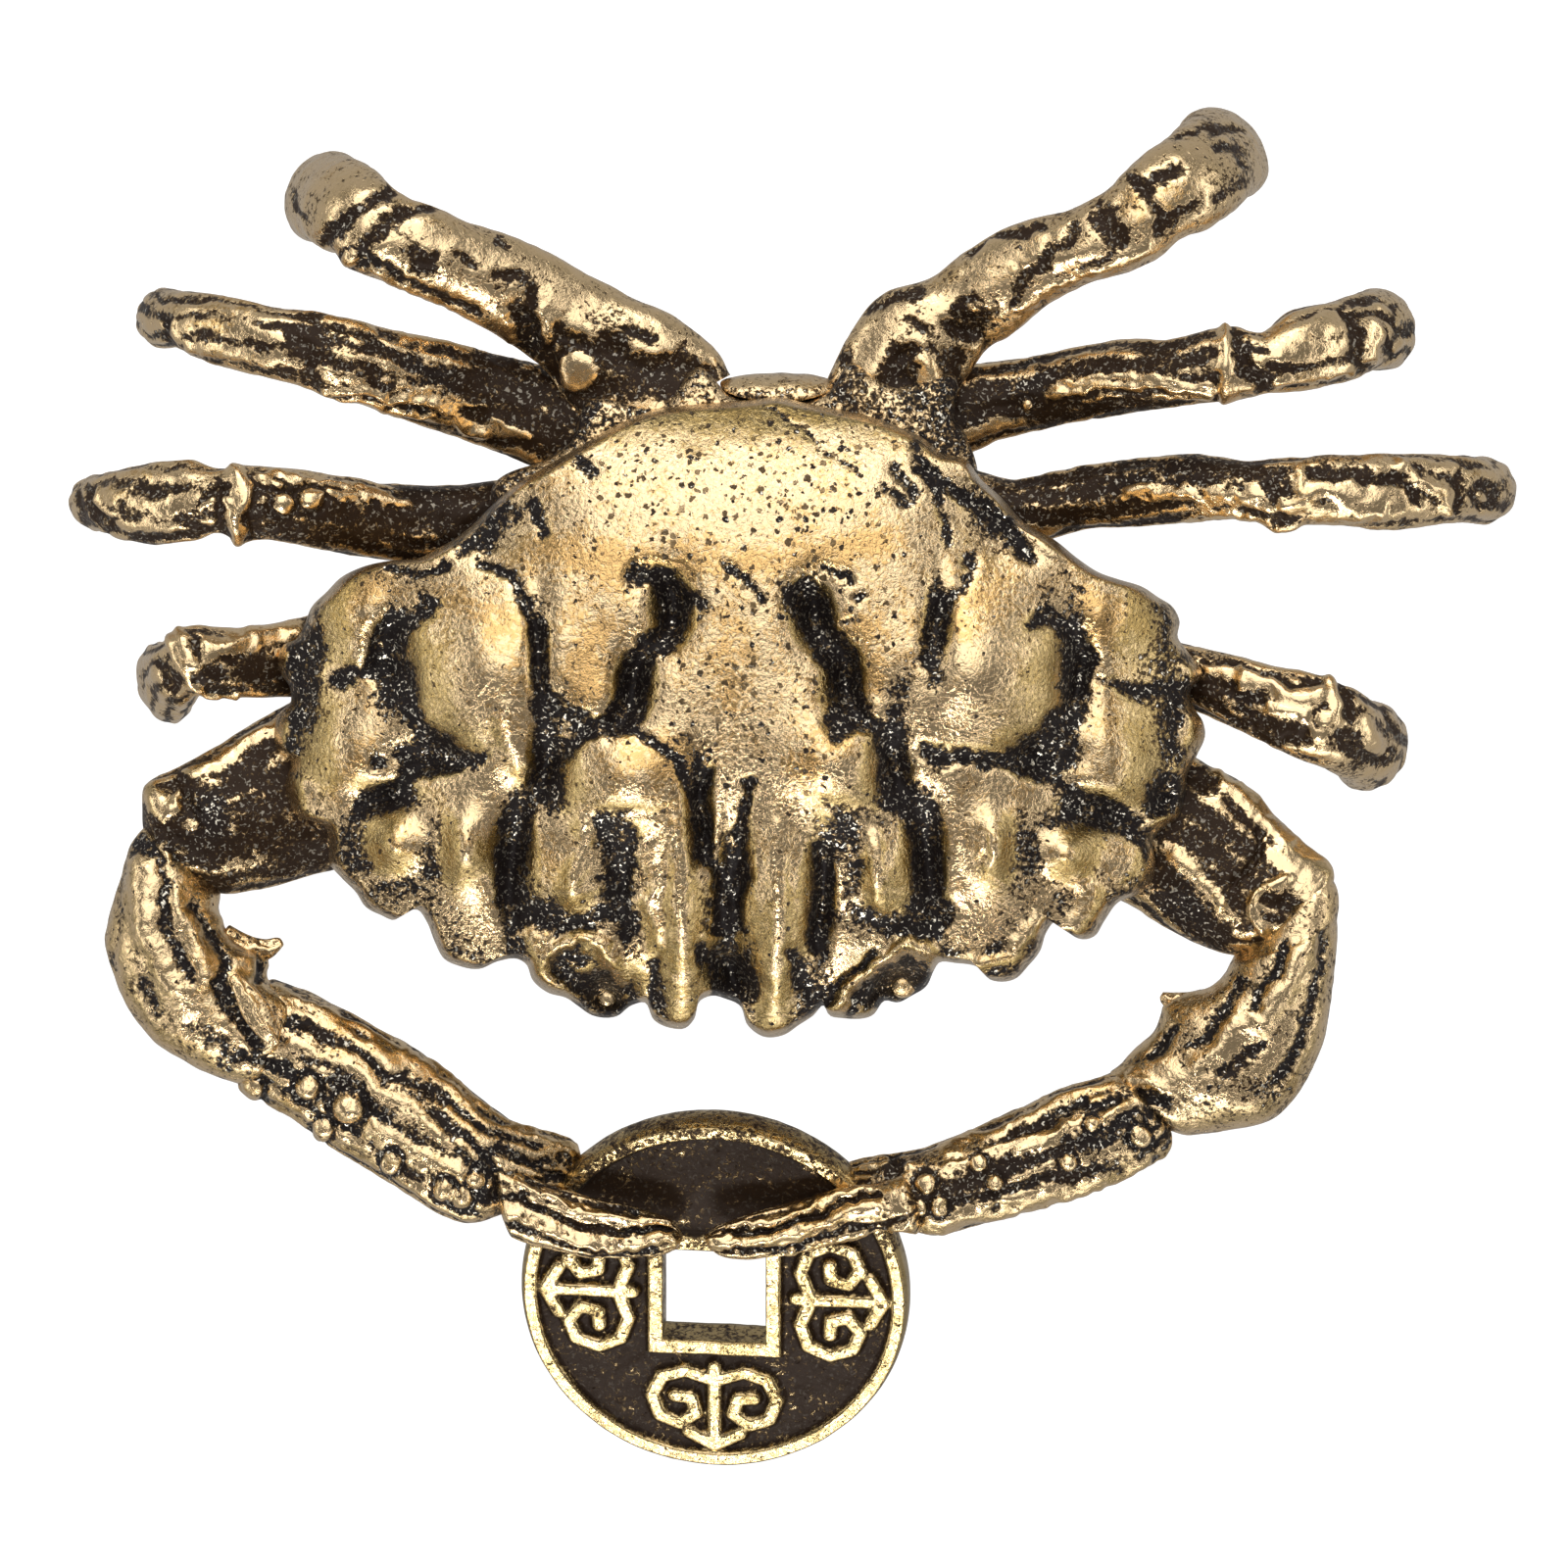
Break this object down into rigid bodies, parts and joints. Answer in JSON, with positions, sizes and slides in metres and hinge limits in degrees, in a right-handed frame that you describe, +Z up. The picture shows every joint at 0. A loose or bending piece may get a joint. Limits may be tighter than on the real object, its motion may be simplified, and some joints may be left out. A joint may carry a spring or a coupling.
{
  "type": "crab figurine",
  "caption": "Cast brass crab on spread legs, whose two claws reach forward and grip a tilted round coin with a square hole.",
  "frame": {"origin": "on the table, in the middle of the part's box in plan", "axes": "+Z up; +Y to the crab's rear; +X to the right as seen from above with the rear at the top"},
  "size_m": [0.0457, 0.0433, 0.0127],
  "materials": {
    "antique_brass": "rubbed antique brass with near-black patina left in the hollows and pits",
    "coin_brass": "bright raised rim and ornament over a near-black recessed field"
  },
  "bodies": {
    "root": {"carapace": "antique_brass", "underbody": "antique_brass", "abdomen_flap": "antique_brass", "left_eye": "antique_brass", "right_eye": "antique_brass", "left_leg_1": "antique_brass", "left_leg_2": "antique_brass", "left_leg_3": "antique_brass", "left_leg_4": "antique_brass", "right_leg_1": "antique_brass", "right_leg_2": "antique_brass", "right_leg_3": "antique_brass", "right_leg_4": "antique_brass", "left_claw_arm": "antique_brass", "left_claw_wrist": "antique_brass", "left_claw_palm": "antique_brass", "left_claw_finger": "antique_brass", "right_claw_arm": "antique_brass", "right_claw_wrist": "antique_brass", "right_claw_palm": "antique_brass", "right_claw_finger": "antique_brass", "coin": "coin_brass"}
  },
  "joints": []
}
